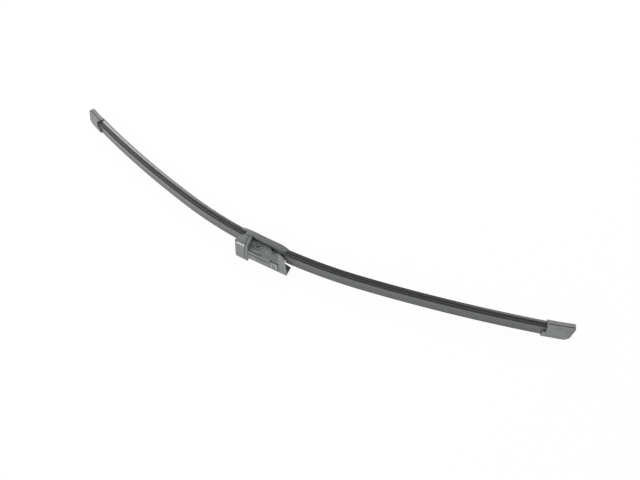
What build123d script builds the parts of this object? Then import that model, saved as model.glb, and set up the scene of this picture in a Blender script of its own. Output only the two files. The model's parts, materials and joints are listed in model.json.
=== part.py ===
from build123d import *
from math import cos, degrees, hypot, sin
import os

# Flat (beam) windscreen wiper blade, lying on its side. X runs along the blade, -Y points away from the
# glass (the connector side), +Y towards the glass (the lip side), and Z runs across the blade. Sections
# are drawn as (across, height): height counts from the feet of the spoiler's claws, away from the glass.

# Blade curve: three tangent arcs each side of the middle, measured along the feet of the claws
blade_length = 550.0
middle_radius = 455.0
flank_radius = 1266.0
tip_radius = 398.0
middle_arc = 190.0
tip_arc = 25.0

# Spring rails
rail_width = 3.4
rail_thickness = 0.9
rail_gap = 2.0
rail_end_margin = 5.8

# Wiper rubber
lip_reach = 4.2
lip_edge = 0.6
head_width = 5.8
head_height = 0.75
foot_width = 6.2
foot_height = 1.2
web_width = 0.9
web_height = 0.7
wedge_width = 4.2
wedge_shoulder = 0.4
rubber_end_margin = 13.0

# Spoiler
claw_wall = 0.6
claw_lip = 0.65
claw_lip_reach = 1.1
claw_height = 2.5
recess_depth = 0.9
recess_step = 0.2
ridge_lean = 0.2
ridge_height = 6.7
rib_height = 4.25
rib_size = 0.35
edge_overhang = 1.9
edge_height = 5.7
edge_radius = 0.5
ramp_dip = 0.5
spoiler_wall = 1.2
ridge_wall = 1.7

# End caps
cap_length = 23.2
cap_tongue = 2.4
cap_tongue_lean = 0.8
cap_tongue_inset = 5.9
cap_overlap = 8.6
cap_wall = 0.9
cap_thin_wall = 0.5
cap_end_wall = 5.0
cap_groove_low = 3.2
cap_groove_width = 0.8
cap_groove_depth = 0.6
cap_side_inset = 0.3
cap_crown = 0.3
cap_ridge_radius = 2.5
cap_edge_radius = 0.8
cap_nose_length = 11.0
cap_nose_slope = 0.24
cap_nose_tilt = 0.15
cap_end_skew = 0.3
cap_corner = 0.7

# Connector bracket
bracket_length = 30.0
bracket_plate = 1.0
bracket_tab_length = 9.0
cheek_thickness = 1.1
cheek_gap = 4.4
cheek_base = 13.0
cheek_tip_radius = 3.4

# Connector cover
cover_left = 19.5
cover_wing = 6.5
cover_wing_height = 2.4
cover_right = 23.0
cover_slope = 6.5
cover_end_height = 2.9
cover_left_sweep = 16.0
cover_right_sweep = 11.0
cover_width = 15.2
cover_left_width = 11.5
cover_right_width = 10.4
cover_wall = 1.2
cover_height = 5.6
cover_skirt = 0.6
cover_floor = 0.7

# Pivot
pivot_offset = -1.3
pivot_height = 11.2
pin_radius = 2.0
pin_end_recess = 0.6
pin_dimple_radius = 0.8
pin_dimple_depth = 0.3
pivot_ring_radius = 3.3
pivot_pocket_radius = 4.3
pivot_pocket_depth = 0.4

# Arm adapter
adapter_width = 9.4
adapter_wall = 1.0
adapter_roof = 1.3
adapter_end_wall = 3.4
adapter_end = 34.0
adapter_top = 20.3
adapter_top_fall = 1.2
adapter_underside = 5.7
adapter_underside_rise = 3.5
adapter_underside_flat = 5.0
adapter_end_undercut = 8.8
far_plate_lean = 2.0
pivot_room_end = 8.0
latch_room_width = 6.4
latch_room_depth = 14.0
facet_foot = 18.4
facet_foot_height = 9.1
facet_end = 24.8
facet_slope = 0.48
side_groove_end = 7.2
side_groove_inset = 0.45
side_groove_width = 0.9
side_groove_depth = 0.6
side_pocket_start = 9.3
side_pocket_start_height = 6.8
side_pocket_peak = 15.1
side_pocket_peak_height = 11.5
side_pocket_end = 17.6
side_pocket_end_height = 8.8
side_pocket_depth = 1.1
top_groove_place = 1.2
top_groove_end = 15.5
top_groove_width = 0.8
top_groove_depth = 0.6

# Hood of the adapter
hood_face = -6.6
hood_lean = 4.0
hood_width = 17.4
hood_underside = 7.2
hood_wall = 0.8
hood_length = 15.8
hood_crown_radius = 4.0
hood_corner_height = 12.0
hood_cut = 4.2
hood_edge_radius = 1.2
hood_chamfer = 1.1
hood_rim_length = 3.0
hood_rim_height = 0.4
hood_rim_chamfer = 0.5
hood_groove_width = 0.6
hood_groove_depth = 0.4
hood_web = 1.2

# Latch button and its leaf spring
button_length = 7.6
button_width = 6.0
button_centre = 21.0
button_proud = 0.4
button_flange = 1.0
button_flange_height = 0.8
button_edge_radius = 0.4
button_gap = 0.45
button_dimple = 3.0
button_dimple_depth = 0.5
leaf_width = 3.6
leaf_thickness = 0.4
leaf_start = 3.5
leaf_seat = 5.0
leaf_bend_radius = 3.0
stake_radius = 0.8
stake_head_radius = 1.4
stake_head_height = 0.5

# Clearances
rubber_clearance = 0.05
claw_clearance = 0.1
cap_clearance = 0.15
seat_clearance = 0.1
swing_clearance = 0.35
pin_running_clearance = 0.05
pin_seat_clearance = 0.01
button_clearance = 0.15
spoiler_end_gap = 0.3

# Heights and half widths that follow from the sizes above
half_length = blade_length / 2
rail_inner = rail_gap / 2
rail_outer = rail_inner + rail_width
rail_low = claw_lip + claw_clearance
rail_high = rail_low + rail_thickness
rail_half = half_length - rail_end_margin
claw_inner = rail_outer + claw_clearance
claw_half = claw_inner + claw_wall
pocket_high = rail_high + claw_clearance
head_low = rail_high + rubber_clearance
head_high = head_low + head_height
foot_high = rail_low - rubber_clearance
foot_low = foot_high - foot_height
web_low = foot_low - web_height
rubber_half = half_length - rubber_end_margin
recess_half = claw_half - recess_depth
ridge_half = recess_half - ridge_lean
edge_half = claw_half + edge_overhang
chamber_half = recess_half - spoiler_wall
cap_half = claw_half + cap_clearance + cap_wall
cap_low = -(cap_clearance + cap_thin_wall)
cap_side = cap_half - cap_side_inset
cap_top = ridge_height + cap_clearance + cap_wall
cap_far = edge_half + cap_clearance + cap_thin_wall
cap_far_high = edge_height + cap_clearance + cap_wall
cap_groove_half = cap_half - cap_groove_depth
cap_groove_high = cap_groove_low + cap_groove_width
cap_start = half_length - cap_length
spoiler_end = cap_start + cap_overlap
plate_low = head_high + seat_clearance
plate_high = plate_low + bracket_plate
tab_inner = rail_outer + seat_clearance
tab_half = tab_inner + bracket_plate
foot_lip_high = rail_low - seat_clearance
cheek_outer = cheek_gap / 2 + cheek_thickness
cover_outer = cover_width / 2
cover_inner = cover_outer - cover_wall
cover_left_end = cover_left + cover_wing
cover_left_half = cover_left_width / 2
cover_right_half = cover_right_width / 2
hollow_half = bracket_length / 2 + swing_clearance
channel_half = rail_outer + seat_clearance
channel_high = head_high + claw_clearance
floor_low = plate_high + seat_clearance
floor_high = floor_low + cover_floor
adapter_half = adapter_width / 2
adapter_inner = adapter_half - adapter_wall
pin_half = adapter_half - pin_end_recess
hood_half = hood_width / 2
hood_inner = hood_half - hood_wall
hood_end = hood_face - hood_length
hood_foot = hood_face - hood_lean
button_low = button_centre - button_length / 2
button_high = button_centre + button_length / 2
stake_place = leaf_start + leaf_seat / 2

# The origin is the middle of the underside of the box around the whole blade
flank_arc = half_length - tip_arc - middle_arc / 2
curve_arcs = ((middle_radius, middle_arc / 2), (flank_radius, flank_arc), (tip_radius, 2 * tip_arc))


def walk(distance):
    """Place and heading, in radians, on the claw line at a distance from the middle."""
    side = 1 if distance >= 0 else -1
    left, x, y, heading = abs(distance), 0.0, 0.0, 0.0
    for radius, length in curve_arcs:
        turn = min(left, length) / radius
        x += radius * (sin(heading + turn) - sin(heading))
        y += radius * (cos(heading) - cos(heading + turn))
        heading += turn
        left -= min(left, length)
    return side * x, y, side * heading


def glass_side(distance, depth):
    """How far a point under the claw line lies towards the glass."""
    x, y, heading = walk(distance)
    return y + depth * cos(heading)


blade_reach = max(glass_side(rubber_half, lip_reach), glass_side(half_length, -cap_low))
blade_y = (adapter_top + hood_rim_height - blade_reach) / 2
blade_z = hood_half + hood_rim_height


def section_plane(distance):
    """Plane across the blade: its x runs across, its y away from the glass."""
    x, y, heading = walk(distance)
    return Plane((x, y + blade_y, blade_z), x_dir=(0, 0, 1), z_dir=(cos(heading), sin(heading), 0))


def side_plane(distance=0):
    """Plane along the blade, seen from the side: x along it, y away from the glass."""
    x, y, heading = walk(distance)
    return Plane((x, y + blade_y, blade_z), x_dir=(cos(heading), sin(heading), 0), z_dir=(0, 0, -1))


def top_plane(distance=0, height=0):
    """Plane along the blade, seen from the connector side: x along it, y across it."""
    section = section_plane(distance)
    origin = section.origin + section.y_dir * height
    return Plane(origin, x_dir=section.z_dir, z_dir=section.y_dir)


def curve_pieces(start, end):
    """Section plane, axis and turn of each arc of the blade between two distances."""
    joints = (-half_length + tip_arc, -middle_arc / 2, middle_arc / 2, half_length - tip_arc)
    radii = (tip_radius, flank_radius, middle_radius, flank_radius, tip_radius)
    pieces = []
    for low, high, radius in zip((-blade_length, *joints), (*joints, blade_length), radii):
        low, high = max(low, start), min(high, end)
        if low < high:
            plane = section_plane(low)
            axis = Axis(plane.origin - plane.y_dir * radius, (0, 0, 1))
            pieces.append((plane, axis, degrees((high - low) / radius)))
    return pieces


# Section of one spring rail
with BuildSketch() as rail_section:
    with Locations(((rail_inner + rail_outer) / 2, (rail_low + rail_high) / 2)):
        Rectangle(rail_width, rail_thickness)

with BuildPart() as spring_rail_near:
    for plane, axis, turn in curve_pieces(-rail_half, rail_half):
        with BuildSketch(plane):
            add(rail_section.sketch)
        revolve(axis=axis, revolution_arc=turn)

with BuildPart() as spring_rail_far:
    mirror(spring_rail_near.part, about=Plane.XY.offset(blade_z))

# Wiper rubber: head above the rails, foot below them, tilting web and wedge-shaped lip
with BuildSketch() as rubber_section:
    with BuildLine():
        Polyline(
            (0, head_high),
            (head_width / 2, head_high),
            (head_width / 2, head_low),
            (rail_inner - rubber_clearance, head_low),
            (rail_inner - rubber_clearance, foot_high),
            (foot_width / 2, foot_high),
            (foot_width / 2, foot_low),
            (web_width / 2, foot_low),
            (web_width / 2, web_low),
            (wedge_width / 2, web_low),
            (wedge_width / 2, web_low - wedge_shoulder),
            (lip_edge / 2, -lip_reach),
            (0, -lip_reach),
            close=True,
        )
    make_face()
    mirror(about=Plane.YZ)

with BuildPart() as wiper_rubber:
    for plane, axis, turn in curve_pieces(-rubber_half, rubber_half):
        with BuildSketch(plane):
            add(rubber_section.sketch)
        revolve(axis=axis, revolution_arc=turn)

# Spoiler: claws round the rails, steep recessed near side, shallow hollow ramp to the far edge
ramp_middle = ((ridge_half - edge_half) / 2, (ridge_height + edge_height) / 2 - ramp_dip)
with BuildSketch() as spoiler_outline:
    with BuildLine():
        Polyline(
            (-edge_half, edge_height),
            (-claw_half, claw_height),
            (-claw_half, 0),
            (claw_half, 0),
            (claw_half, claw_height),
            (recess_half, claw_height + recess_step),
            (ridge_half, ridge_height),
        )
        ThreePointArc((ridge_half, ridge_height), ramp_middle, (-edge_half, edge_height))
    make_face()
    fillet(vertices().sort_by(Axis.X)[0], edge_radius)
    with Locations((recess_half, rib_height)):
        Rectangle(rib_size, rib_size)

with BuildSketch() as spoiler_section:
    add(spoiler_outline.sketch)
    with Locations((0, claw_lip / 2)):
        Rectangle(2 * (claw_inner - claw_lip_reach), claw_lip, mode=Mode.SUBTRACT)
    with Locations((0, (claw_lip + pocket_high) / 2)):
        Rectangle(2 * claw_inner, pocket_high - claw_lip, mode=Mode.SUBTRACT)
    with BuildLine():
        Polyline(
            (-chamber_half, pocket_high),
            (-chamber_half, edge_height - spoiler_wall),
            (chamber_half, ridge_height - ridge_wall),
            (chamber_half, pocket_high),
            close=True,
        )
    make_face(mode=Mode.SUBTRACT)

with BuildPart() as spoiler_right:
    for plane, axis, turn in curve_pieces(cover_right + spoiler_end_gap, spoiler_end):
        with BuildSketch(plane):
            add(spoiler_section.sketch)
        revolve(axis=axis, revolution_arc=turn)

with BuildPart() as spoiler_left:
    for plane, axis, turn in curve_pieces(-spoiler_end, -cover_left - spoiler_end_gap):
        with BuildSketch(plane):
            add(spoiler_section.sketch)
        revolve(axis=axis, revolution_arc=turn)

# End cap: a shell over the blade's end, with a grooved near side, a rounded ridge and a sloping nose
with BuildSketch() as cap_outline:
    with BuildLine():
        Polyline(
            (-cap_far, cap_far_high),
            (-cap_far, edge_height),
            (-cap_half, claw_height),
            (-cap_half, cap_low),
            (cap_half, cap_low),
            (cap_half, cap_groove_low),
            (cap_groove_half, cap_groove_low),
            (cap_groove_half, cap_groove_high),
            (cap_side, cap_groove_high),
            (cap_side, cap_top),
        )
        crown_middle = ((cap_side - cap_far) / 2, (cap_top + cap_far_high) / 2 + cap_crown)
        ThreePointArc((cap_side, cap_top), crown_middle, (-cap_far, cap_far_high))
    make_face()
    fillet(vertices().sort_by_distance((cap_side, cap_top))[0], cap_ridge_radius)
    fillet(vertices().sort_by_distance((-cap_far, cap_far_high))[0], cap_edge_radius)

with BuildSketch() as cap_cavity:
    add(spoiler_outline.sketch)
    offset(amount=cap_clearance, kind=Kind.INTERSECTION)
    with Locations((0, cap_low / 2)):
        Rectangle(2 * (claw_inner - claw_lip_reach), -cap_low)

with BuildSketch() as cap_end_cavity:
    with Locations((0, (cap_low + head_high + cap_clearance) / 2)):
        Rectangle(foot_width + 2 * cap_clearance, head_high + cap_clearance - cap_low)
    with Locations((0, (rail_low + rail_high) / 2)):
        Rectangle(2 * (rail_outer + cap_clearance), rail_thickness + 2 * cap_clearance)

tip = top_plane(half_length)
nose_plane = Plane(
    tip.from_local_coords((-cap_nose_length, cap_side, cap_top)),
    z_dir=tip.x_dir * cap_nose_slope + tip.y_dir * cap_nose_tilt + tip.z_dir,
)
end_plane = Plane(tip.from_local_coords((0, cap_half, 0)), z_dir=tip.x_dir - tip.y_dir * cap_end_skew)
corner_plane = Plane(tip.from_local_coords((0, -cap_corner, 0)), z_dir=tip.x_dir - tip.y_dir)
with BuildPart() as end_cap_right:
    for plane, axis, turn in curve_pieces(cap_start - 2 * cap_tongue, half_length):
        with BuildSketch(plane):
            add(cap_outline.sketch)
        revolve(axis=axis, revolution_arc=turn)
    with BuildSketch(tip):
        with BuildLine():
            Polyline(
                (-cap_length, 2 * cap_half),
                (-cap_length, -edge_half + cap_tongue_inset),
                (-cap_length - cap_tongue, -edge_half + cap_tongue_inset),
                (-cap_length - cap_tongue - cap_tongue_lean, -2 * cap_half),
                (-2 * cap_length, -2 * cap_half),
                (-2 * cap_length, 2 * cap_half),
                close=True,
            )
        make_face()
    extrude(amount=2 * ridge_height, both=True, mode=Mode.SUBTRACT)
    split(bisect_by=nose_plane, keep=Keep.BOTTOM)
    split(bisect_by=end_plane, keep=Keep.BOTTOM)
    split(bisect_by=corner_plane, keep=Keep.BOTTOM)
    for plane, axis, turn in curve_pieces(cap_start - 3 * cap_tongue, spoiler_end + cap_clearance):
        with BuildSketch(plane):
            add(cap_cavity.sketch)
        revolve(axis=axis, revolution_arc=turn, mode=Mode.SUBTRACT)
    for plane, axis, turn in curve_pieces(spoiler_end, half_length - cap_end_wall):
        with BuildSketch(plane):
            add(cap_end_cavity.sketch)
        revolve(axis=axis, revolution_arc=turn, mode=Mode.SUBTRACT)

with BuildPart() as end_cap_left:
    mirror(end_cap_right.part, about=Plane.YZ)

# Connector bracket: a plate over the rails with four tabs folded under them and two cheeks for the pin
with BuildSketch() as bracket_section:
    with BuildLine():
        Polyline(
            (0, plate_high),
            (tab_half, plate_high),
            (tab_half, foot_lip_high - bracket_plate),
            (tab_inner - claw_lip_reach, foot_lip_high - bracket_plate),
            (tab_inner - claw_lip_reach, foot_lip_high),
            (tab_inner, foot_lip_high),
            (tab_inner, plate_low),
            (0, plate_low),
            close=True,
        )
    make_face()
    mirror(about=Plane.YZ)

with BuildPart() as connector_bracket:
    for plane, axis, turn in curve_pieces(-bracket_length / 2, bracket_length / 2):
        with BuildSketch(plane):
            add(bracket_section.sketch)
        revolve(axis=axis, revolution_arc=turn)
    with BuildSketch(side_plane()):
        with Locations((0, plate_low / 2 - bracket_plate)):
            Rectangle(bracket_length - 2 * bracket_tab_length, plate_low + 2 * bracket_plate)
    extrude(amount=2 * tab_half, both=True, mode=Mode.SUBTRACT)
    with BuildSketch(side_plane()):
        with BuildLine():
            Polyline(
                (pivot_offset - cheek_base / 2, (plate_low + plate_high) / 2),
                (pivot_offset - cheek_tip_radius, pivot_height),
                (pivot_offset + cheek_tip_radius, pivot_height),
                (pivot_offset + cheek_base / 2, (plate_low + plate_high) / 2),
                close=True,
            )
        make_face()
        with Locations((pivot_offset, pivot_height)):
            Circle(cheek_tip_radius)
            Circle(pin_radius + pin_seat_clearance, mode=Mode.SUBTRACT)
    extrude(amount=cheek_outer, both=True)
    with BuildSketch(side_plane()):
        with Locations((pivot_offset, pivot_height + plate_high)):
            Rectangle(2 * cheek_base, 2 * pivot_height)
    extrude(amount=cheek_gap / 2, both=True, mode=Mode.SUBTRACT)

# Connector cover: a skirt round the bracket with a floor on the plate, two low wings along the left
# spoiler and a slope down to the right one
with BuildSketch() as cover_outline:
    with Locations((0, (cover_height - cover_skirt) / 2)):
        Rectangle(cover_width, cover_height + cover_skirt)

with BuildSketch() as cover_channel:
    with Locations((0, (channel_high - 2 * cover_skirt) / 2)):
        Rectangle(2 * channel_half, channel_high + 2 * cover_skirt)

with BuildSketch() as cover_hollow:
    with Locations((0, (floor_low - 2 * cover_skirt) / 2)):
        Rectangle(2 * cover_inner, floor_low + 2 * cover_skirt)
    with Locations((0, floor_high + cover_height / 2)):
        Rectangle(2 * cover_inner, cover_height)

with BuildSketch() as cover_wing_room:
    with Locations((0, cover_height / 2)):
        Rectangle(2 * (claw_half + cap_clearance), 2 * cover_height)
    with Locations((0, cover_wing_height + cover_height / 2)):
        Rectangle(2 * cover_width, cover_height)

with BuildPart() as connector_cover:
    for plane, axis, turn in curve_pieces(-2 * cover_left, 2 * cover_right):
        with BuildSketch(plane):
            add(cover_outline.sketch)
            add(cover_channel.sketch, mode=Mode.SUBTRACT)
        revolve(axis=axis, revolution_arc=turn)
    for plane, axis, turn in curve_pieces(-hollow_half, hollow_half):
        with BuildSketch(plane):
            add(cover_hollow.sketch)
        revolve(axis=axis, revolution_arc=turn, mode=Mode.SUBTRACT)
    with BuildSketch(top_plane()):
        with BuildLine():
            left_sweep = TangentArc(
                (cover_left_sweep - cover_left_end, cover_outer),
                (-cover_left_end, cover_left_half),
                tangent=(-1, 0),
            )
            right_sweep = TangentArc(
                (cover_right - cover_right_sweep, cover_outer),
                (cover_right, cover_right_half),
                tangent=(1, 0),
            )
            Line(left_sweep @ 0, right_sweep @ 0)
            Polyline(left_sweep @ 1, (-cover_left_end, 0), (cover_right, 0), right_sweep @ 1)
        make_face()
        mirror(about=Plane.XZ)
    extrude(amount=2 * cover_height, both=True, mode=Mode.INTERSECT)
    for plane, axis, turn in curve_pieces(-2 * cover_left, -cover_left):
        with BuildSketch(plane):
            add(cover_wing_room.sketch)
        revolve(axis=axis, revolution_arc=turn, mode=Mode.SUBTRACT)
    with BuildSketch(side_plane()):
        with BuildLine():
            Polyline(
                (cover_right - cover_slope, cover_height),
                (cover_right, cover_end_height),
                (2 * cover_right, cover_end_height),
                (2 * cover_right, 2 * cover_height),
                (cover_right - cover_slope, 2 * cover_height),
                close=True,
            )
        make_face()
    extrude(amount=cover_width, both=True, mode=Mode.SUBTRACT)
    with BuildSketch(top_plane()):
        with Locations((pivot_offset, 0)):
            Rectangle(cheek_base + 2 * swing_clearance, 2 * (cheek_outer + swing_clearance))
    extrude(amount=2 * cover_height, both=True, mode=Mode.SUBTRACT)

# Pivot pin: plain, with a centre dimple in each end
with BuildPart() as pivot_pin:
    with BuildSketch(side_plane()):
        with Locations((pivot_offset, pivot_height)):
            Circle(pin_radius)
    extrude(amount=pin_half, both=True)
    with BuildSketch(side_plane().offset(pin_half), side_plane().offset(-pin_half)):
        with Locations((pivot_offset, pivot_height)):
            Circle(pin_dimple_radius)
    extrude(amount=pin_dimple_depth, both=True, mode=Mode.SUBTRACT)


def roof_at(place):
    """Height of the adapter's sloping top at a place along it."""
    return adapter_top - adapter_top_fall * (place - hood_face) / (adapter_end - hood_face)


def hood_front(height):
    """Place of the hood's leaning front at a height."""
    return hood_face - hood_lean * (adapter_top - height) / (adapter_top - hood_underside)


# Arm adapter: a channel that the arm slides over, with a wide hood that the arm butts against
end_high = roof_at(adapter_end)
end_low = adapter_underside + adapter_underside_rise
end_foot = adapter_end - adapter_end_undercut
rim_high = adapter_top + hood_rim_height
rim_face = hood_front(rim_high)
hood_rise = adapter_top - hood_underside
hood_neck_height = (hood_rise - hood_groove_depth) * hypot(hood_rise, hood_lean) / hood_rise
hood_plane = Plane(
    side_plane().from_local_coords((hood_foot, hood_underside, 0)),
    x_dir=(0, 0, 1),
    z_dir=(hood_rise, hood_lean, 0),
)
button_stop = button_high + button_flange + button_clearance
room_high = adapter_top - adapter_roof
facet_run = facet_end - facet_foot
facet_rise = roof_at(facet_end) - facet_foot_height
facet_plane = Plane(
    side_plane().offset(-adapter_half).from_local_coords((facet_foot, facet_foot_height, 0)),
    x_dir=(0, 0, 1),
    z_dir=(facet_run, -facet_rise, 0),
)
with BuildPart() as arm_adapter:
    with BuildSketch(side_plane()):
        with BuildLine():
            crown = TangentArc(
                (hood_end + hood_crown_radius, adapter_top),
                (hood_end, adapter_top - hood_crown_radius),
                tangent=(-1, 0),
            )
            Polyline(
                crown @ 1,
                (hood_end, hood_corner_height),
                (hood_end + hood_cut, hood_underside),
                (hood_foot, hood_underside),
                (hood_face, adapter_top),
                crown @ 0,
            )
        make_face()
    extrude(amount=hood_half, both=True)
    chamfer(edges().filter_by(Axis.X).group_by(Axis.Y)[0].sort_by(Axis.Z)[-1], hood_chamfer)
    with BuildSketch(side_plane()):
        with BuildLine():
            Polyline(
                (hood_foot, hood_underside),
                (rim_face, rim_high),
                (rim_face - hood_rim_length, rim_high),
                (hood_foot - hood_rim_length, hood_underside),
                close=True,
            )
        make_face()
    extrude(amount=hood_half + hood_rim_height, both=True)
    fillet(edges().filter_by(Axis.X).group_by(Axis.Y)[0], hood_edge_radius)
    chamfer(edges().filter_by(Axis.Z).group_by(Axis.Y)[0].sort_by(Axis.X)[-1], hood_rim_chamfer)
    with BuildSketch(side_plane()):
        with BuildLine():
            Polyline(
                (hood_front(0) - hood_rim_length, 0),
                (rim_face - hood_rim_length, rim_high),
                (rim_face - hood_rim_length - hood_groove_width, rim_high),
                (hood_front(0) - hood_rim_length - hood_groove_width, 0),
                close=True,
            )
        make_face()
    extrude(amount=hood_width, both=True, mode=Mode.SUBTRACT)
    with BuildSketch(hood_plane):
        with Locations((0, hood_neck_height / 2)):
            Rectangle(hood_width - 2 * hood_groove_depth, hood_neck_height)
        fillet(vertices().group_by(Axis.Y)[-1], hood_edge_radius)
    extrude(amount=hood_rim_length + 2 * hood_groove_width, dir=(-1, 0, 0))
    with BuildSketch(side_plane()):
        with BuildLine():
            Polyline(
                (hood_front(adapter_underside) - hood_web / 2, adapter_underside),
                (hood_face - hood_web / 2, adapter_top),
                (hood_face, adapter_top),
                (adapter_end, end_high),
                (adapter_end - far_plate_lean, end_low),
                (adapter_underside_flat, adapter_underside),
                close=True,
            )
        make_face()
    extrude(amount=adapter_half, both=True)
    with BuildSketch(side_plane().offset(adapter_half - adapter_wall)):
        with BuildLine():
            Polyline(
                (adapter_end, end_high),
                (end_foot, end_low),
                (end_foot, 0),
                (2 * adapter_end, 0),
                (2 * adapter_end, end_high),
                close=True,
            )
        make_face()
    extrude(amount=-adapter_width, mode=Mode.SUBTRACT)
    with BuildSketch(facet_plane):
        with BuildLine():
            Polyline(
                (0, 0),
                (-facet_slope * adapter_end, -adapter_end),
                (adapter_half, -adapter_end),
                (adapter_half, 0),
                close=True,
            )
        make_face()
    extrude(amount=adapter_end, both=True, mode=Mode.SUBTRACT)
    with BuildSketch(side_plane()):
        with BuildLine():
            inner_crown = TangentArc(
                (hood_end + hood_crown_radius, room_high),
                (hood_end + adapter_roof, adapter_top - hood_crown_radius),
                tangent=(-1, 0),
            )
            Polyline(
                inner_crown @ 1,
                (hood_end + adapter_roof, 0),
                (hood_front(0) - hood_web, 0),
                (hood_front(room_high) - hood_web, room_high),
                inner_crown @ 0,
            )
        make_face()
    extrude(amount=hood_inner, both=True, mode=Mode.SUBTRACT)
    with BuildSketch(side_plane()):
        with BuildLine():
            Polyline(
                (hood_front(0), 0),
                (hood_front(room_high), room_high),
                (hood_face, room_high),
                (pivot_room_end, roof_at(pivot_room_end) - adapter_roof),
                (pivot_room_end, 0),
                close=True,
            )
        make_face()
    extrude(amount=adapter_inner, both=True, mode=Mode.SUBTRACT)
    with BuildSketch(side_plane()):
        with BuildLine():
            Polyline(
                (pivot_offset, 0),
                (pivot_offset, roof_at(pivot_offset) - adapter_roof),
                (button_stop, roof_at(button_stop) - adapter_roof),
                (button_stop, latch_room_depth),
                (end_foot - adapter_end_wall, end_low),
                (end_foot - adapter_end_wall, 0),
                close=True,
            )
        make_face()
    extrude(amount=latch_room_width / 2, both=True, mode=Mode.SUBTRACT)
    with BuildSketch(side_plane()):
        with Locations((pivot_offset, pivot_height)):
            Circle(pin_radius + pin_running_clearance)
    extrude(amount=adapter_half, both=True, mode=Mode.SUBTRACT)
    with BuildSketch(side_plane().offset(adapter_half), side_plane().offset(-adapter_half)):
        with Locations((pivot_offset, pivot_height)):
            Circle(pivot_pocket_radius)
            Circle(pivot_ring_radius, mode=Mode.SUBTRACT)
    extrude(amount=pivot_pocket_depth, both=True, mode=Mode.SUBTRACT)
    with BuildSketch(side_plane().offset(adapter_half), side_plane().offset(-adapter_half)):
        with BuildLine():
            Polyline(
                (hood_face, adapter_top - side_groove_inset - side_groove_width),
                (hood_face, adapter_top - side_groove_inset),
                (side_groove_end, roof_at(side_groove_end) - side_groove_inset),
                (side_groove_end, roof_at(side_groove_end) - side_groove_inset - side_groove_width),
                close=True,
            )
        make_face()
    extrude(amount=side_groove_depth, both=True, mode=Mode.SUBTRACT)
    with BuildSketch(side_plane().offset(adapter_half), side_plane().offset(-adapter_half)):
        with BuildLine():
            Polyline(
                (side_pocket_start, 0),
                (side_pocket_start, side_pocket_start_height),
                (side_pocket_peak, side_pocket_peak_height),
                (side_pocket_end, side_pocket_end_height),
                (side_pocket_end, 0),
                close=True,
            )
        make_face()
    extrude(amount=side_pocket_depth, both=True, mode=Mode.SUBTRACT)
    with BuildSketch(side_plane().offset(-top_groove_place)):
        with BuildLine():
            Polyline(
                (hood_face, adapter_top - top_groove_depth),
                (hood_face, 2 * adapter_top),
                (top_groove_end, 2 * adapter_top),
                (top_groove_end, roof_at(top_groove_end) - top_groove_depth),
                close=True,
            )
        make_face()
    extrude(amount=top_groove_width / 2, both=True, mode=Mode.SUBTRACT)
    with BuildSketch(top_plane(0, adapter_top)):
        with Locations((button_centre, 0)):
            Rectangle(button_length + 2 * button_gap, button_width + 2 * button_gap)
    extrude(amount=-adapter_top_fall - 2 * adapter_roof, mode=Mode.SUBTRACT)
    with BuildSketch(side_plane().offset(-adapter_half)):
        with BuildLine():
            Polyline(
                (button_low - button_gap, roof_at(button_low) - adapter_roof),
                (button_low - button_gap, adapter_top),
                (button_high + button_gap, adapter_top),
                (button_high + button_gap, roof_at(button_high) - adapter_roof),
                close=True,
            )
        make_face()
    extrude(amount=adapter_half, mode=Mode.SUBTRACT)
    with BuildSketch(top_plane(0, roof_at(stake_place) - adapter_roof / 2)):
        with Locations((stake_place, 0)):
            Circle(stake_radius)
    extrude(amount=-adapter_roof / 2 - leaf_thickness - stake_head_height)
    with BuildSketch(top_plane(0, roof_at(stake_place) - adapter_roof - leaf_thickness - 2 * seat_clearance)):
        with Locations((stake_place, 0)):
            Circle(stake_head_radius)
    extrude(amount=-stake_head_height)

# Latch button: a square key with a dimple, kept in its window by a flange under the roof
flange_high = roof_at(button_stop) - adapter_roof - button_clearance
flange_low = flange_high - button_flange_height
with BuildPart() as latch_button:
    with BuildSketch(side_plane()):
        with BuildLine():
            Polyline(
                (button_low, roof_at(button_low) + button_proud),
                (button_high, roof_at(button_high) + button_proud),
                (button_high, flange_high),
                (button_high + button_flange, flange_high),
                (button_high + button_flange, flange_low),
                (button_low - button_flange, flange_low),
                (button_low - button_flange, flange_high),
                (button_low, flange_high),
                close=True,
            )
        make_face()
    extrude(amount=button_width / 2, both=True)
    fillet(faces().sort_by(Axis.Y)[0].edges(), button_edge_radius)
    with BuildSketch(top_plane(0, roof_at(button_centre) + button_proud)):
        with Locations((button_centre, 0)):
            Rectangle(button_dimple, button_dimple)
    extrude(amount=button_dimple_depth, both=True, mode=Mode.SUBTRACT)

# Leaf spring: staked under the roof at one end and bent down under the button at the other
leaf_end = leaf_start + leaf_seat
leaf_top = roof_at(leaf_start) - adapter_roof - leaf_thickness / 2 - seat_clearance
leaf_end_top = roof_at(leaf_end) - adapter_roof - leaf_thickness / 2 - seat_clearance
leaf_low = flange_low - leaf_thickness / 2 - seat_clearance
with BuildPart() as latch_spring:
    with BuildSketch(side_plane()):
        with BuildLine():
            FilletPolyline(
                (leaf_start, leaf_top),
                (leaf_end, leaf_end_top),
                (button_low - button_flange, leaf_low),
                (button_high, leaf_low),
                radius=leaf_bend_radius,
            )
        trace(line_width=leaf_thickness)
    extrude(amount=leaf_width / 2, both=True)
    with BuildSketch(top_plane(0, adapter_top)):
        with Locations((stake_place, 0)):
            Circle(stake_radius + seat_clearance)
    extrude(amount=-adapter_top, mode=Mode.SUBTRACT)

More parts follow.
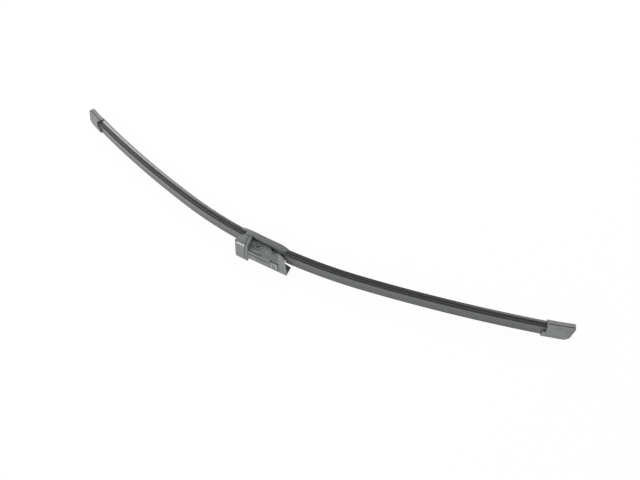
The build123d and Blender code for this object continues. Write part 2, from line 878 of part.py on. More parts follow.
os.makedirs("parts", exist_ok=True)
for name, piece in (
    ("spring_rail_near", spring_rail_near),
    ("spring_rail_far", spring_rail_far),
    ("wiper_rubber", wiper_rubber),
    ("spoiler_left", spoiler_left),
    ("spoiler_right", spoiler_right),
    ("end_cap_left", end_cap_left),
    ("end_cap_right", end_cap_right),
    ("connector_bracket", connector_bracket),
    ("connector_cover", connector_cover),
    ("pivot_pin", pivot_pin),
    ("arm_adapter", arm_adapter),
    ("latch_button", latch_button),
    ("latch_spring", latch_spring),
):
    piece.part.label = name
    export_step(piece.part, f"parts/{name}.step")
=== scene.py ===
# %% [markdown]
# # A flat windscreen wiper blade
#
# A flat blade has no hinged frame. Two spring-steel strips, bent in advance, press one long rubber to
# the glass. A plastic spoiler is clipped over the strips on each side of the middle, a cap closes each
# end, and in the middle a connector carries the adapter that the wiper arm slides over.
#
# The construction is loaded as a fixed frame, in metres: X runs along the blade, -Y points away from
# the glass and Z is up, with the blade lying on its side. Nothing in the frame is moved here. This
# script gives each piece its edges, its finish and the light that shows them.

# %% Load the frame
import json
from math import cos, radians, sin

import bmesh
import bpy
from mathutils import Matrix, Vector

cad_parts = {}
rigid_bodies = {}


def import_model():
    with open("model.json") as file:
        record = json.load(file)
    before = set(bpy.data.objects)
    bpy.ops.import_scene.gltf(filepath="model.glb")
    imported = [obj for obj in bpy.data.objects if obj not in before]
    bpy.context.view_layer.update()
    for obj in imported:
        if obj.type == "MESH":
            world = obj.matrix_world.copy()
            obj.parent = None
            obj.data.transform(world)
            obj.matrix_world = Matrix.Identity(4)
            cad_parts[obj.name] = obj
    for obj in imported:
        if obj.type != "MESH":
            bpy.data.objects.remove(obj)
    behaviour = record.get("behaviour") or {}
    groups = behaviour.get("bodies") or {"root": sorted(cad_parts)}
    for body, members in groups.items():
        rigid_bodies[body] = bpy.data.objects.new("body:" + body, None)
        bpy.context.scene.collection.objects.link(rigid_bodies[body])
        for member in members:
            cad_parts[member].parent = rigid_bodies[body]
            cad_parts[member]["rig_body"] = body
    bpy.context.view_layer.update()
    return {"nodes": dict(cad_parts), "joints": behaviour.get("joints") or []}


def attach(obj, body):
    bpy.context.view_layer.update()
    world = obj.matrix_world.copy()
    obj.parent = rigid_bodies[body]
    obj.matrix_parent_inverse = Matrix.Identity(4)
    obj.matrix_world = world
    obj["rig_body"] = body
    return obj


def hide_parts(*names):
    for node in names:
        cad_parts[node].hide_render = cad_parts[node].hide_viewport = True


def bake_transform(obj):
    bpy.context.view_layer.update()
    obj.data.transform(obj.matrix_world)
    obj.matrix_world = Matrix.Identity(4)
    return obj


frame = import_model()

scene = bpy.context.scene
scene.view_settings.view_transform = "Standard"
mm = 0.001

# %% [markdown]
# ## Three small helpers
#
# Colours are written as sRGB hex, the way a paint chart gives them, and shaders want linear values, so
# one function converts them. Another adds a node with its settings, and takes either a value or the
# output of another node for each of its inputs. The third makes a material with an empty tree. Every
# finish below is made with these three.

# %% Colours, nodes and materials


def linear(hex_colour):
    """An sRGB hex colour as linear red, green, blue and alpha."""
    parts = [int(hex_colour[place : place + 2], 16) / 255 for place in (1, 3, 5)]
    return [p / 12.92 if p <= 0.04045 else ((p + 0.055) / 1.055) ** 2.4 for p in parts] + [1.0]


def add(tree, kind, inputs=None, **settings):
    """A new node in a tree, with settings, and inputs that are values or other nodes' outputs."""
    node = tree.nodes.new(kind)
    for name, value in settings.items():
        setattr(node, name, value)
    for socket, value in (inputs or {}).items():
        if isinstance(value, bpy.types.NodeSocket):
            tree.links.new(value, node.inputs[socket])
        else:
            node.inputs[socket].default_value = value
    return node


def blank_material(name):
    """A new material and its empty tree."""
    material = bpy.data.materials.new(name)
    material.use_nodes = True
    material.node_tree.nodes.clear()
    return material, material.node_tree


print("satin black", [round(value, 3) for value in linear("#2a2c2c")])

# %% [markdown]
# ## Painted shade in the grooves
#
# Grooves and inner corners are darkened with painted shade. It could be painted on by hand, but an
# ambient occlusion node finds these places by itself: it measures how much of the sky each point sees
# within a short reach. Where that is little, the colour is a near black painted shade, where it is
# nearly all, the plastic keeps its own tone, and the two are mixed in between.

# %% Painted shade
painted_shade_colour = "#141515"
painted_shade_samples = 8
full_shade_sky, no_shade_sky = 0.45, 0.9


def with_painted_shade(tree, tone, reach):
    """A colour darkened with painted shade in the grooves that are narrower than a reach."""
    sky = add(tree, "ShaderNodeAmbientOcclusion", {"Distance": reach}, samples=painted_shade_samples)
    unshaded_share = add(tree, "ShaderNodeMapRange", {
        "Value": sky.outputs["AO"], "From Min": full_shade_sky, "From Max": no_shade_sky})
    shaded = add(tree, "ShaderNodeMix", {
        "Factor": unshaded_share.outputs["Result"], "A": linear(painted_shade_colour), "B": tone}, data_type="RGBA")
    return shaded.outputs["Result"]


# The painted shade is full where a point sees less than this share of the sky.
print("painted shade is full where a point sees less than", full_shade_sky, "of the sky")

# %% [markdown]
# ## Moulded plastics
#
# The adapter, its button, the connector cover and the end caps are injection moulded. The steel mould
# is spark eroded, which leaves a fine even grain that breaks up reflections, and the plastic cools a
# little unevenly, which gives faint cloudy differences in tone and gloss. The grain is a quarter of a
# millimetre on the real part. That is finer than a pixel here, so it is drawn twice as coarse. Noise
# on Object coordinates gives both the clouds and the grain, so neither slides when a piece moves.

# %% Moulded plastic
cloud_size, cloud_detail = 6 * mm, 3.0
cloud_limits = (0.3, 0.7)
cloud_gloss = 0.06
grain_size, grain_detail = 0.5 * mm, 2.0
grain_strength = 0.6
groove_shade_reach = 0.9 * mm
moulded_index = 1.48


def moulded_plastic(name, dark, light, roughness, grain_depth):
    """A moulded surface: cloudy tone between two greys, uneven gloss, fine grain, painted shade in grooves.
    """
    material, tree = blank_material(name)
    place = add(tree, "ShaderNodeTexCoord").outputs["Object"]
    clouds = add(tree, "ShaderNodeTexNoise", {
        "Vector": place, "Scale": 1 / cloud_size, "Detail": cloud_detail}).outputs["Fac"]
    tone = add(tree, "ShaderNodeValToRGB", {"Fac": clouds})
    for stop, limit, colour in zip(tone.color_ramp.elements, cloud_limits, (dark, light)):
        stop.position = limit
        stop.color = linear(colour)
    gloss = add(tree, "ShaderNodeMapRange", {
        "Value": clouds, "To Min": roughness - cloud_gloss, "To Max": roughness + cloud_gloss})
    grains = add(tree, "ShaderNodeTexNoise", {
        "Vector": place, "Scale": 1 / grain_size, "Detail": grain_detail})
    bump = add(tree, "ShaderNodeBump", {
        "Height": grains.outputs["Fac"], "Strength": grain_strength, "Distance": grain_depth})
    shader = add(tree, "ShaderNodeBsdfPrincipled", {
        # The base colour is darkened with painted shade in grooves and inner corners.
        "Base Color": with_painted_shade(tree, tone.outputs["Color"], groove_shade_reach),
        "Roughness": gloss.outputs["Result"], "Normal": bump.outputs["Normal"], "IOR": moulded_index})
    add(tree, "ShaderNodeOutputMaterial", {"Surface": shader.outputs["BSDF"]})
    return material


# Acetal from a polished mould is satin, with broad highlights. Polyester is duller: grained on the cover,
# and smooth but matt on the caps.
adapter_acetal = moulded_plastic("moulded_acetal_satin", "#626564", "#707372", 0.24, 0.004 * mm)
button_acetal = moulded_plastic("moulded_acetal_button", "#7c7f7e", "#888b8a", 0.36, 0.004 * mm)
cover_polyester = moulded_plastic("moulded_polyester_grained", "#565958", "#626564", 0.5, 0.012 * mm)
cap_polyester = moulded_plastic("moulded_polyester_smooth", "#747674", "#808280", 0.7, 0.003 * mm)
print("plastics", adapter_acetal.name, button_acetal.name, cover_polyester.name, cap_polyester.name)

# %% [markdown]
# ## Zones of the spoiler
#
# The spoiler is pulled through a die in two plastics at once: hard glossy claws that grip the steel
# strips, and a softer lip above them. Going up from the claws, the near side has a matt recess with a
# rib along it and a dark brow over it, and beyond the ridge a satin ramp faces the wind. Five materials
# would need five meshes or face sets. One material can tell the zones apart instead, because the sweep
# further down stores on the mesh how high each point lies and where it lies across the blade.

# %% Spoiler zones
claw_height, ramp_height = 2.6 * mm, 4.8 * mm
ridge_place = 3.95 * mm
rib_height, rib_reach = 4.25 * mm, 0.45 * mm


def spoiler_zones(tree, height, across):
    """Masks of the zones above the claws: the recess, its rib, the brow over it and the ramp."""
    recess = add(tree, "ShaderNodeMath", {0: height, 1: claw_height}, operation="GREATER_THAN")
    high = add(tree, "ShaderNodeMath", {0: height, 1: ramp_height}, operation="GREATER_THAN").outputs[0]
    far = add(tree, "ShaderNodeMath", {0: across, 1: ridge_place}, operation="LESS_THAN").outputs[0]
    ramp = add(tree, "ShaderNodeMath", {0: high, 1: far}, operation="MULTIPLY").outputs[0]
    brow = add(tree, "ShaderNodeMath", {0: high, 1: ramp}, operation="SUBTRACT")
    # The rib's band is painted a lighter grey than the recess: a painted highlight along the raised rib.
    band = add(tree, "ShaderNodeMath", {0: height, 1: rib_height, 2: rib_reach}, operation="COMPARE")
    rib = add(tree, "ShaderNodeMath", {0: band.outputs[0], 1: far}, operation="SUBTRACT", use_clamp=True)
    return recess.outputs[0], rib.outputs[0], brow.outputs[0], ramp


print("claws up to", round(claw_height / mm, 2), "mm, ramp from", round(ramp_height / mm, 2), "mm")

# %% [markdown]
# ## Extruded spoiler and rubber
#
# A die leaves fine lines along the length, which stretch every reflection. They are noise, drawn out
# along the blade, so their pattern follows the extrusion: it reads the distance along the blade and
# around the section, which the sweep stores too. Real lines are a tenth of a millimetre apart and are
# drawn at half a millimetre. The rubber comes out of a die in the same way. It is coated, and its pale
# grey is a painted reflection that stands in for the sheen of its lip at a grazing angle. That grey is
# the same all round, so its zones are all alike.

# %% Extruded plastics
line_width, line_length = 0.5 * mm, 60 * mm
line_detail = 2.0
line_gloss = 0.12
line_strength, line_depth = 0.3, 0.01 * mm
recess_shade_reach = 1.4 * mm
extruded_index = 1.5


def extruded_plastic(name, colours, roughnesses):
    """Extruded plastic with die lines, and a tone and a gloss for the claws and for each zone above."""
    material, tree = blank_material(name)
    read = {title: add(tree, "ShaderNodeAttribute", attribute_name=title).outputs["Fac"]
            for title in ("along", "around", "height", "across")}
    tone, gloss = linear(colours[0]), roughnesses[0]
    zones = spoiler_zones(tree, read["height"], read["across"])
    for zone, colour, roughness in zip(zones, colours[1:], roughnesses[1:]):
        tone = add(tree, "ShaderNodeMix", {
            "Factor": zone, "A": tone, "B": linear(colour)}, data_type="RGBA").outputs["Result"]
        gloss = add(tree, "ShaderNodeMix", {
            "Factor": zone, "A": gloss, "B": roughness}).outputs["Result"]
    stretch = add(tree, "ShaderNodeMath", {
        0: read["along"], 1: line_width / line_length}, operation="MULTIPLY")
    drawn = add(tree, "ShaderNodeCombineXYZ", {"X": stretch.outputs[0], "Y": read["around"]})
    lines = add(tree, "ShaderNodeTexNoise", {
        "Vector": drawn.outputs[0], "Scale": 1 / line_width, "Detail": line_detail}).outputs["Fac"]
    uneven = add(tree, "ShaderNodeMath", {0: lines, 1: line_gloss, 2: gloss}, operation="MULTIPLY_ADD")
    bump = add(tree, "ShaderNodeBump", {
        "Height": lines, "Strength": line_strength, "Distance": line_depth})
    shader = add(tree, "ShaderNodeBsdfPrincipled", {
        # The recess and the grooves of the extrusion are darkened with painted shade.
        "Base Color": with_painted_shade(tree, tone, recess_shade_reach), "Roughness": uneven.outputs[0],
        "Normal": bump.outputs["Normal"], "IOR": extruded_index})
    add(tree, "ShaderNodeOutputMaterial", {"Surface": shader.outputs["BSDF"]})
    return material


# Claws, recess, rib, brow and ramp. The rib's lighter grey is a painted highlight along it.
spoiler_colours = ("#343636", "#2a2b2b", "#3e3f3f", "#1c1d1d", "#525454")
spoiler_gloss = (0.2, 0.55, 0.5, 0.6, 0.3)
# The rubber's pale grey is a painted reflection of the sheen along its lip.
rubber_sheen_colours = ("#808282",) * len(spoiler_colours)
rubber_gloss = (0.3,) * len(spoiler_gloss)
spoiler_plastic = extruded_plastic("extruded_spoiler_plastic", spoiler_colours, spoiler_gloss)
blade_rubber = extruded_plastic("coated_rubber_painted_sheen", rubber_sheen_colours, rubber_gloss)
print("extrusions", spoiler_plastic.name, blade_rubber.name)

# %% [markdown]
# ## Steels
#
# The strips are cold-rolled spring steel, left as rolled, so they carry fine lines along their length,
# and the leaf under the button is cut from the same stock. The bracket is stamped from sheet and zinc
# plated, which is paler and a little mottled. The pivot pin is turned and blackened. Noise stretched
# along X gives the rolled lines, and left unstretched it gives the mottle. A metal keeps the default
# index of refraction.

# %% Steel finishes
fleck_size, fleck_detail = 0.8 * mm, 4.0
fleck_colour = "#70757a"
fleck_gloss = 0.1
fleck_strength, fleck_depth = 0.3, 0.01 * mm


def steel(name, colour, roughness, stretch):
    """A steel finish with flecks, stretched along X, in its tone and in its gloss."""
    material, tree = blank_material(name)
    place = add(tree, "ShaderNodeTexCoord").outputs["Object"]
    drawn = add(tree, "ShaderNodeMapping", {"Vector": place, "Scale": (1 / stretch, 1.0, 1.0)})
    flecks = add(tree, "ShaderNodeTexNoise", {
        "Vector": drawn.outputs[0], "Scale": 1 / fleck_size, "Detail": fleck_detail}).outputs["Fac"]
    tone = add(tree, "ShaderNodeMix", {
        "Factor": flecks, "A": linear(fleck_colour), "B": linear(colour)}, data_type="RGBA")
    gloss = add(tree, "ShaderNodeMapRange", {
        "Value": flecks, "To Min": roughness - fleck_gloss, "To Max": roughness + fleck_gloss})
    bump = add(tree, "ShaderNodeBump", {
        "Height": flecks, "Strength": fleck_strength, "Distance": fleck_depth})
    shader = add(tree, "ShaderNodeBsdfPrincipled", {
        "Base Color": tone.outputs["Result"], "Metallic": 1.0, "Roughness": gloss.outputs["Result"],
        "Normal": bump.outputs["Normal"]})
    add(tree, "ShaderNodeOutputMaterial", {"Surface": shader.outputs["BSDF"]})
    return material


rolled_steel = steel("rolled_spring_steel", "#9a9fa3", 0.4, stretch=20)
zinc_plate = steel("zinc_plated_steel", "#c4c6c4", 0.38, stretch=1)
blackened_steel = steel("blackened_turned_steel", "#3c3f40", 0.4, stretch=1)
print("steels", rolled_steel.name, zinc_plate.name, blackened_steel.name)

# %% [markdown]
# ## The blade's curve
#
# All the long pieces follow one line: three arcs that meet smoothly on each side of the middle, tightest
# at the tips, so that the pressure stays even along the glass. A line of arcs needs only a radius and a
# length for each, and both the place and the heading at any distance follow from them. The line passes
# under the pivot, whose place the frame gives.

# %% Follow the curve
middle_radius, flank_radius, tip_radius = 455 * mm, 1266 * mm, 398 * mm
middle_arc, flank_arc, tip_arc = 95 * mm, 155 * mm, 50 * mm
curve_arcs = ((middle_radius, middle_arc), (flank_radius, flank_arc), (tip_radius, tip_arc))
pivot = Vector(next(joint for joint in frame["joints"] if joint["name"] == "adapter_pivot")["pos_m"])
pivot_height = 11.2 * mm
line_origin = Vector((0, pivot.y + pivot_height, pivot.z))


def on_curve(distance):
    """The point at a distance along the blade, and the heading there in radians."""
    side = 1 if distance >= 0 else -1
    remaining, x, y, heading = abs(distance), 0.0, 0.0, 0.0
    for radius, length in curve_arcs:
        turn = min(remaining, length) / radius
        x += radius * (sin(heading + turn) - sin(heading))
        y += radius * (cos(heading) - cos(heading + turn))
        heading += turn
        remaining -= min(remaining, length)
    return line_origin + Vector((side * x, y, 0)), side * heading


def distance_at(heading):
    """How far along the blade it has turned to a heading."""
    side = 1 if heading >= 0 else -1
    remaining, distance = abs(heading), 0.0
    for radius, length in curve_arcs:
        turn = min(remaining, length / radius)
        distance += turn * radius
        remaining -= turn
    return side * distance


print("the line starts at", [round(value / mm, 2) for value in line_origin], "mm")

# %% [markdown]
# ## Reading a section
#
# The section of each long piece isn't drawn again. It is read from the cut end of its solid: the faces
# that look along the blade are gathered, and their outer edges are followed round. The direction that
# this end faces also says how far along the line it lies.

# %% Cut ends
end_lean = 0.9
weld = 0.001 * mm


def cut_end(node, side):
    """Distance of a long piece's cut end along the blade, and its outline as (height, -across) points."""
    shape = bmesh.new()
    shape.from_mesh(frame["nodes"][node].data)
    bmesh.ops.remove_doubles(shape, verts=shape.verts, dist=weld)
    faces = {face for face in shape.faces if side * face.normal.x > end_lean}
    facing = sum((face.normal * face.calc_area() for face in faces), Vector()).normalized() * side
    distance = distance_at(Vector((1, 0)).angle_signed(facing.xy) * -1)
    origin, heading = on_curve(distance)
    away = Vector((sin(heading), -cos(heading), 0))
    links = {}
    for face in faces:
        for loop in face.loops:
            if not set(loop.edge.link_faces) <= faces:
                links[loop.vert] = loop.link_loop_next.vert
    first = corner = next(iter(links))
    outline = []
    while not outline or corner is not first:
        outline.append(((corner.co - origin).dot(away), origin.z - corner.co.z, 0.0))
        corner = links[corner]
    shape.free()
    return distance, outline


for name in ("spoiler_left", "spoiler_right", "wiper_rubber", "spring_rail_near"):
    (start, outline), (end, _) = cut_end(name, -1), cut_end(name, 1)
    print(name, "from", round(start / mm, 1), "to", round(end / mm, 1), "mm,", len(outline), "corners")

# %% [markdown]
# ## Sweeping a section along the curve
#
# An extrusion is one section carried along a path, which is what Curve to Mesh does. The tree takes the
# path and the section as inputs and rounds the section's corners with Fillet Curve, as a die does. For
# the materials it stores on the mesh the distance along and the distance around, and also the height
# and the place across, which are the two directions that the section is drawn in.

# %% Extrusion tree
corner_steps = 3


def extrusion_tree():
    """A Geometry Nodes tree that carries a section along a path and stores where each point lies."""
    tree = bpy.data.node_groups.new("extrusion", "GeometryNodeTree")
    inputs = {"Path": "Object", "Section": "Object", "Corner radius": "Float", "Finish": "Material"}
    for title, kind in inputs.items():
        tree.interface.new_socket(title, in_out="INPUT", socket_type="NodeSocket" + kind)
    tree.interface.new_socket("Mesh", in_out="OUTPUT", socket_type="NodeSocketGeometry")
    given = add(tree, "NodeGroupInput").outputs
    length = add(tree, "GeometryNodeSplineParameter").outputs["Length"]
    place = add(tree, "GeometryNodeInputPosition").outputs[0]
    drawn = add(tree, "ShaderNodeSeparateXYZ", {0: place}).outputs
    across = add(tree, "ShaderNodeMath", {0: drawn["Y"], 1: -1.0}, operation="MULTIPLY").outputs[0]
    path = add(tree, "GeometryNodeObjectInfo", {"Object": given["Path"]})
    path = add(tree, "GeometryNodeMeshToCurve", {"Mesh": path.outputs["Geometry"]})
    path = add(tree, "GeometryNodeSetCurveNormal", {"Curve": path.outputs[0]}, mode="Z_UP")
    path = add(tree, "GeometryNodeStoreNamedAttribute", {
        "Geometry": path.outputs[0], "Name": "along", "Value": length})
    section = add(tree, "GeometryNodeObjectInfo", {"Object": given["Section"]})
    section = add(tree, "GeometryNodeMeshToCurve", {"Mesh": section.outputs["Geometry"]})
    section = add(tree, "GeometryNodeFilletCurve", {
        "Curve": section.outputs[0], "Count": corner_steps, "Limit Radius": True,
        "Radius": given["Corner radius"]}, mode="POLY")
    for title, value in (("around", length), ("height", drawn["X"]), ("across", across)):
        section = add(tree, "GeometryNodeStoreNamedAttribute", {
            "Geometry": section.outputs[0], "Name": title, "Value": value})
    swept = add(tree, "GeometryNodeCurveToMesh", {
        "Curve": path.outputs[0], "Profile Curve": section.outputs[0], "Fill Caps": True})
    whole = add(tree, "GeometryNodeRealizeInstances", {"Geometry": swept.outputs[0]})
    finished = add(tree, "GeometryNodeSetMaterial", {
        "Geometry": whole.outputs[0], "Material": given["Finish"]})
    add(tree, "NodeGroupOutput", {"Mesh": finished.outputs[0]})
    return tree


extrusion = extrusion_tree()
print("extrusion tree with", len(extrusion.nodes), "nodes")

# %% [markdown]
# ## Putting a piece in its solid's place
#
# A piece that modifiers have shaped is turned into a plain mesh, because the frame takes plain meshes
# only, and is shaded smooth except at real corners. It then stands for the solid that it was made from
# and moves with that solid's body. A piece that flexes is put on no body: it only keeps its place.

# %% Plain meshes and places
soft_crease = radians(32)


def apply_modifiers(piece):
    """Turns a piece with modifiers into a plain mesh."""
    bpy.context.view_layer.update()
    shaped = piece.evaluated_get(bpy.context.evaluated_depsgraph_get())
    mesh = bpy.data.meshes.new_from_object(shaped)
    piece.modifiers.clear()
    piece.data = mesh


def shade(piece, crease=soft_crease):
    """Shades a piece smooth except at corners sharper than a crease."""
    piece.data.shade_smooth()
    piece.data.set_sharp_from_angle(angle=crease)


def stand_for(piece, node, flex=None):
    """Puts a finished piece in a node's place, on the node's body, or on no body if it flexes."""
    body = frame["nodes"][node]["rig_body"]
    if flex:
        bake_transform(piece)
    else:
        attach(piece, body)
    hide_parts(node)
    print(piece.name, "stands for", node, "with", len(piece.data.polygons), "faces")


print("corners sharper than", round(soft_crease, 2), "radians stay sharp")

# %% [markdown]
# ## Laying the long pieces
#
# The spoilers, the rubber and the strips each get a path from one cut end to the other and their own
# section, and the tree sweeps them. A point every four millimetres keeps the curve smooth.

# %% Long pieces
station = 4 * mm
spoiler_corner, rubber_corner, rail_corner = 0.12 * mm, 0.08 * mm, 0.1 * mm


def line_object(name, points, closed):
    """A mesh of edges through points, to be read as a path or a section."""
    count = len(points)
    edges = [(place, (place + 1) % count) for place in range(count if closed else count - 1)]
    mesh = bpy.data.meshes.new(name)
    mesh.from_pydata(points, edges, [])
    holder = bpy.data.objects.new(name, mesh)
    scene.collection.objects.link(holder)
    return holder


def extruded(name, node, corner_radius, finish):
    """A long piece swept along the blade between the cut ends of its solid."""
    (start, outline), (end, _) = cut_end(node, -1), cut_end(node, 1)
    count = round((end - start) / station)
    stops = [start + (end - start) * step / count for step in range(count + 1)]
    path = line_object("path", [on_curve(stop)[0] for stop in stops], False)
    section = line_object("section", outline, True)
    # A short stub carries the modifier, whose result takes the stub's place.
    piece = line_object(name, [(0, 0, 0), (0, 0, mm)], False)
    sweep = piece.modifiers.new("sweep", "NODES")
    sweep.node_group = extrusion
    inputs = {"Path": path, "Section": section, "Corner radius": corner_radius, "Finish": finish}
    for socket in extrusion.interface.items_tree:
        if socket.in_out == "INPUT":
            sweep[socket.identifier] = inputs[socket.name]
    apply_modifiers(piece)
    shade(piece)
    bpy.data.objects.remove(path)
    bpy.data.objects.remove(section)
    stand_for(piece, node)


for side in ("left", "right"):
    extruded(f"{side}_spoiler_extrusion", f"spoiler_{side}", spoiler_corner, spoiler_plastic)
extruded("rubber_extrusion", "wiper_rubber", rubber_corner, blade_rubber)
for side in ("near", "far"):
    extruded(f"{side}_rail_strip", f"spring_rail_{side}", rail_corner, rolled_steel)

# %% [markdown]
# ## A web behind the adapter's facet
#
# The adapter's free end is cut off by a slanted facet, and close to the button's room the wall behind
# that facet would run out to nothing. A moulding has a web there. It is a flat block that follows the
# facet from inside, a few microns below its face so that the two don't flicker. Its corners are given
# in the facet's own directions, along its slanted foot and away from it, and a convex hull closes it.

# %% Facet web
adapter_half = 4.7 * mm
facet_foot, facet_low = 18.4 * mm, 9.1 * mm
facet_end, facet_high = 24.8 * mm, 19.37 * mm
facet_slope = 0.48
web_depth, web_sink = 2.5 * mm, 0.004 * mm
web_corners = ((2.6 * mm, 0.2 * mm), (4.4 * mm, 1.6 * mm), (4.4 * mm, 8.9 * mm), (3.0 * mm, 9.25 * mm),
               (2.6 * mm, 8.8 * mm))


def facet_web():
    """A block on the inside of the adapter's slanted facet."""
    rise = Vector((facet_end - facet_foot, facet_high - facet_low)).normalized()
    fall = Vector((rise.y, -rise.x))
    shape = bmesh.new()
    for away, along in web_corners:
        place = Vector((facet_foot, facet_low)) + away * fall + along * rise
        for depth in (web_depth, facet_slope * away + web_sink):
            shape.verts.new(line_origin + Vector((place.x, -place.y, adapter_half - depth)))
    bmesh.ops.convex_hull(shape, input=shape.verts)
    bmesh.ops.recalc_face_normals(shape, faces=shape.faces)
    mesh = bpy.data.meshes.new("facet_web")
    shape.to_mesh(mesh)
    shape.free()
    holder = bpy.data.objects.new("facet_web", mesh)
    scene.collection.objects.link(holder)
    return holder


adapter_web = facet_web()
print("web with", len(adapter_web.data.polygons), "faces")

# %% [markdown]
# ## Edges on the moulded and stamped pieces
#
# No moulded or stamped edge is perfectly sharp, and it is the small radius that catches the light. A
# copy of each solid is merged into one skin, its flat areas are joined into single faces, and a Bevel
# modifier rounds the hard edges, by an amount that suits how the piece was made. Smooth shading alone
# would then bulge the flat faces, so a Weighted Normal modifier lets the large faces set the normals.
#
# The leaf under the button is staked to the adapter at one end and carries the button at the other. It
# has to bend between the two, so it is cut across several times before its edges are rounded.

# %% Rounded copies
flat_angle = radians(0.3)
fine_crease = radians(20)
edge_steps = 2
flat_weight = 100
flex_cuts = 7


def one_skin(name, node, flex):
    """A node's solid as one skin with its flat areas joined, cut across where the piece has to flex."""
    shape = bmesh.new()
    shape.from_mesh(frame["nodes"][node].data)
    bmesh.ops.remove_doubles(shape, verts=shape.verts, dist=weld)
    bmesh.ops.dissolve_limit(shape, angle_limit=flat_angle, verts=shape.verts, edges=shape.edges)
    for cut in range(flex_cuts if flex else 0):
        place = flex["start"].lerp(flex["end"], (cut + 1) / (flex_cuts + 1))
        everything = [*shape.verts, *shape.edges, *shape.faces]
        bmesh.ops.bisect_plane(shape, geom=everything, plane_co=place, plane_no=(1, 0, 0))
    mesh = bpy.data.meshes.new(name)
    shape.to_mesh(mesh)
    shape.free()
    # The loose triangles' own normals don't fit the joined faces.
    if "custom_normal" in mesh.attributes:
        mesh.attributes.remove(mesh.attributes["custom_normal"])
    return mesh


def softened(name, node, edge_radius, finish, crease=soft_crease, web=None, flex=None):
    """A copy of a node with its sharp edges rounded and flat faces shaded flat, joined to a web if given."""
    piece = bpy.data.objects.new(name, one_skin(name, node, flex))
    piece.data.materials.append(finish)
    scene.collection.objects.link(piece)
    edge = piece.modifiers.new("edge radius", "BEVEL")
    edge.width = edge_radius
    edge.segments = edge_steps
    edge.limit_method = "ANGLE"
    edge.angle_limit = crease
    if web:
        join = piece.modifiers.new("web", "BOOLEAN")
        join.operation = "UNION"
        join.object = web
    apply_modifiers(piece)
    if web:
        bpy.data.objects.remove(web)
    shade(piece, crease)
    flat = piece.modifiers.new("flat faces", "WEIGHTED_NORMAL")
    flat.weight = flat_weight
    flat.keep_sharp = True
    apply_modifiers(piece)
    stand_for(piece, node, flex)


moulded_edge, button_edge, turned_edge = 0.15 * mm, 0.1 * mm, 0.15 * mm
stamped_edge, leaf_edge = 0.12 * mm, 0.05 * mm
leaf_flex = {"body": "button", "start": Vector((8.5, 0, 0)) * mm, "end": Vector((16.2, 0, 0)) * mm}
softened("left_end_cap", "end_cap_left", moulded_edge, cap_polyester)
softened("right_end_cap", "end_cap_right", moulded_edge, cap_polyester)
softened("cover_moulding", "connector_cover", moulded_edge, cover_polyester)
softened("adapter_moulding", "arm_adapter", moulded_edge, adapter_acetal,
         fine_crease, adapter_web)
softened("button_moulding", "latch_button", button_edge, button_acetal)
softened("bracket_stamping", "connector_bracket", stamped_edge, zinc_plate)
softened("pin_turning", "pivot_pin", turned_edge, blackened_steel)
softened("leaf_strip", "latch_spring", leaf_edge, rolled_steel, flex=leaf_flex)

# %% [markdown]
# ## A white floor
#
# The blade lies on a floor that is white to the camera and in reflections, because satin black plastic
# shows mostly what it reflects. A lit white floor would also take strong shadows, so most of what is
# seen of it is plain white light, and the rest is pale paint that takes a faint shadow.

# %% White floor
floor_size = 6.0
floor_glow = 0.96


def white_floor():
    """A pale floor: seen or reflected it is mostly plain white, and otherwise it only scatters light."""
    material, tree = blank_material("pale_floor")
    ray = add(tree, "ShaderNodeLightPath").outputs
    seen = add(tree, "ShaderNodeMath", {
        0: ray["Is Camera Ray"], 1: ray["Is Glossy Ray"]}, operation="MAXIMUM")
    seen = add(tree, "ShaderNodeMath", {
        0: seen.outputs[0], 1: ray["Is Transmission Ray"]}, operation="MAXIMUM")
    share = add(tree, "ShaderNodeMath", {0: seen.outputs[0], 1: floor_glow}, operation="MULTIPLY")
    paint = add(tree, "ShaderNodeBsdfDiffuse", {"Color": linear("#f4f5f5")})
    glow = add(tree, "ShaderNodeEmission", {"Color": linear("#ffffff"), "Strength": 1.0})
    mixed = add(tree, "ShaderNodeMixShader", {
        0: share.outputs[0], 1: paint.outputs[0], 2: glow.outputs[0]})
    add(tree, "ShaderNodeOutputMaterial", {"Surface": mixed.outputs[0]})
    return material


half = floor_size / 2
floor_corners = [(-half, -half, 0), (half, -half, 0), (half, half, 0), (-half, half, 0)]
floor_mesh = bpy.data.meshes.new("floor")
floor_mesh.from_pydata(floor_corners, [], [(0, 1, 2, 3)])
floor_mesh.materials.append(white_floor())
floor = bpy.data.objects.new("floor", floor_mesh)
scene.collection.objects.link(floor)
print("floor", floor_size, "m wide")

# %% [markdown]
# ## Light
#
# On satin plastic each broad highlight is the image of a lamp, so every lamp stands where a highlight
# needs it. Five soft panels do this. One overhead gives the plain level of light. One low in front lights
# the faces that look away from the glass. One in front on the left draws the bright chamfer of the hood,
# and one behind on the left the pale strip along the left half. One behind on the right does the same for
# the right half, its cap and the adapter's facet. The room around them is a dim grey to the plastic and
# white to the camera.

# %% Light
room_grey = 0.25
middle = (0, 0, 0)


def panel(name, place, target, width, height, power):
    """A soft rectangular lamp that faces a target."""
    lamp = bpy.data.lights.new(name, "AREA")
    lamp.shape = "RECTANGLE"
    lamp.size, lamp.size_y, lamp.energy = width, height, power
    holder = bpy.data.objects.new(name, lamp)
    holder.location = place
    holder.rotation_euler = (Vector(target) - Vector(place)).to_track_quat("-Z", "Y").to_euler()
    scene.collection.objects.link(holder)


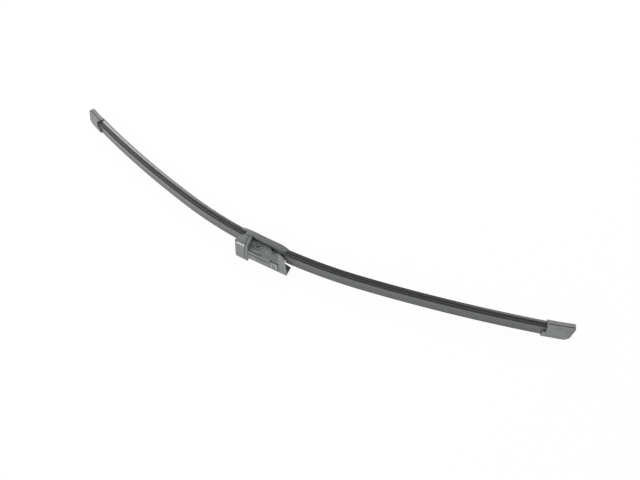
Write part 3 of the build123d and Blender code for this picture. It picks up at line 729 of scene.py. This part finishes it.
panel("overhead_panel", (0.0, 0.1, 1.4), middle, width=1.4, height=1.4, power=1.5)
panel("low_panel", (0.1, -1.5, 0.5), middle, width=1.6, height=0.5, power=10)
panel("front_panel", (-0.72, -1.2, 0.94), middle, width=0.6, height=0.6, power=16)
panel("left_panel", (-1.15, 0.78, 0.8), (-0.2, 0, 0), width=0.8, height=0.6, power=11)
panel("right_panel", (0.45, 1.1, 0.95), (0.1, 0, 0), width=0.8, height=0.9, power=8.5)
room = bpy.data.worlds.new("room")
room.use_nodes = True
room.node_tree.nodes.clear()
ray = add(room.node_tree, "ShaderNodeLightPath").outputs
grey = add(room.node_tree, "ShaderNodeBackground", {"Color": linear("#eef0f0"), "Strength": room_grey})
white = add(room.node_tree, "ShaderNodeBackground", {"Color": linear("#ffffff"), "Strength": 1.0})
mixed = add(room.node_tree, "ShaderNodeMixShader", {
    0: ray["Is Camera Ray"], 1: grey.outputs[0], 2: white.outputs[0]})
add(room.node_tree, "ShaderNodeOutputWorld", {"Surface": mixed.outputs[0]})
scene.world = room

# %% [markdown]
# ## Camera
#
# The camera stands where the photograph was taken from, in front of the blade, to its right and well
# above it. Its azimuth turns it towards the middle, its pitch looks down, and a small roll tilts the
# picture. Its focal length is known in pixels, and the sensor's width turns that into millimetres.

# %% Camera
image_width, focal_pixels, sensor_width = 640, 700.9, 36.0
nearest = 0.01
camera_place = Vector((253.99, -388.23, 462.68)) * mm
azimuth, pitch, roll = radians(28.446), radians(44.941), radians(4.003)
forward = Vector((-sin(azimuth) * cos(pitch), cos(azimuth) * cos(pitch), -sin(pitch)))
level = forward.cross(Vector((0, 0, 1))).normalized()
upright = level.cross(forward)
right = cos(roll) * level + sin(roll) * upright
up = cos(roll) * upright - sin(roll) * level
camera = bpy.data.objects.new("camera", bpy.data.cameras.new("camera"))
camera.data.sensor_fit = "HORIZONTAL"
camera.data.sensor_width = sensor_width
camera.data.lens = sensor_width * focal_pixels / image_width
camera.data.clip_start = nearest
camera.matrix_world = Matrix.Translation(camera_place) @ Matrix((right, up, -forward)).transposed().to_4x4()
scene.collection.objects.link(camera)
scene.camera = camera
print("camera lens", round(camera.data.lens, 2), "mm")
